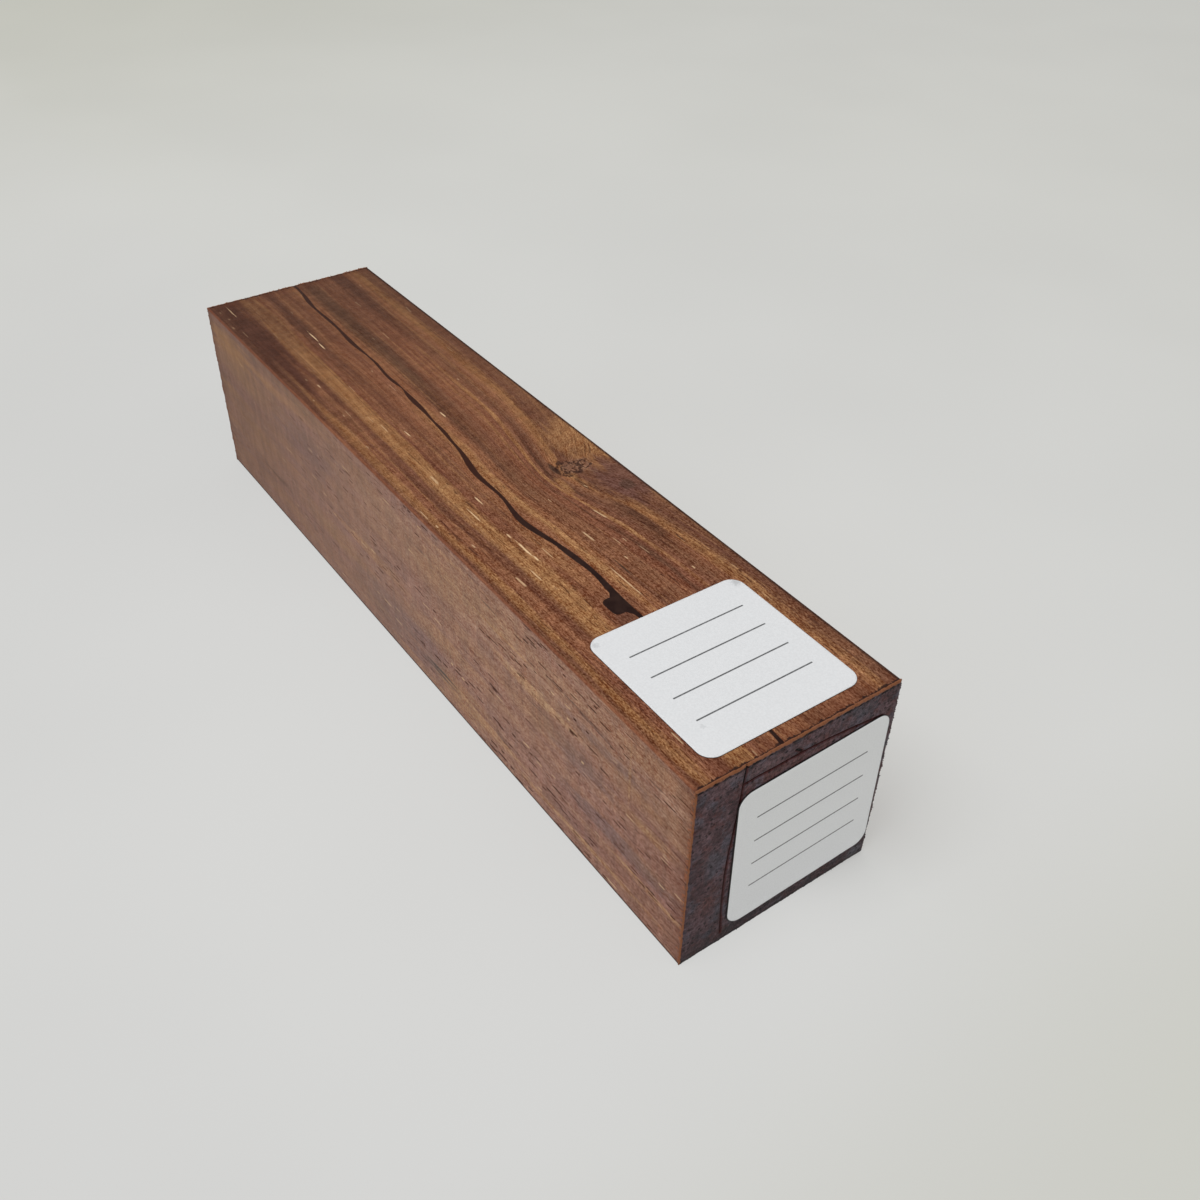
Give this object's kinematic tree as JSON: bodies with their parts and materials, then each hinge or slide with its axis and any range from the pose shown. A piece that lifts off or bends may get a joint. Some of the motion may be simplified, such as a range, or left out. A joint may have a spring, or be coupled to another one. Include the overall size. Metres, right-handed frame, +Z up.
{
  "type": "wood turning blank",
  "caption": "Square-section hardwood turning blank with a resin-filled check along one face, wax-sealed ends and square paper labels.",
  "frame": {"origin": "middle of the underside, on the face that the blank lies on", "axes": "+X along the grain towards the labelled end, +Z up towards the face with the filled check, +Y across the blank"},
  "size_m": [0.1734, 0.0396, 0.0399],
  "materials": {
    "striped_hardwood": "sawn and lightly sanded",
    "dark_resin": "satin",
    "sealing_wax": "waxy satin",
    "label_paper": "matte"
  },
  "bodies": {
    "root": {"blank": "striped_hardwood", "crack_fill": "dark_resin", "end_seal_near": "sealing_wax", "end_seal_far": "sealing_wax", "top_label": "label_paper", "end_label": "label_paper"}
  },
  "joints": []
}
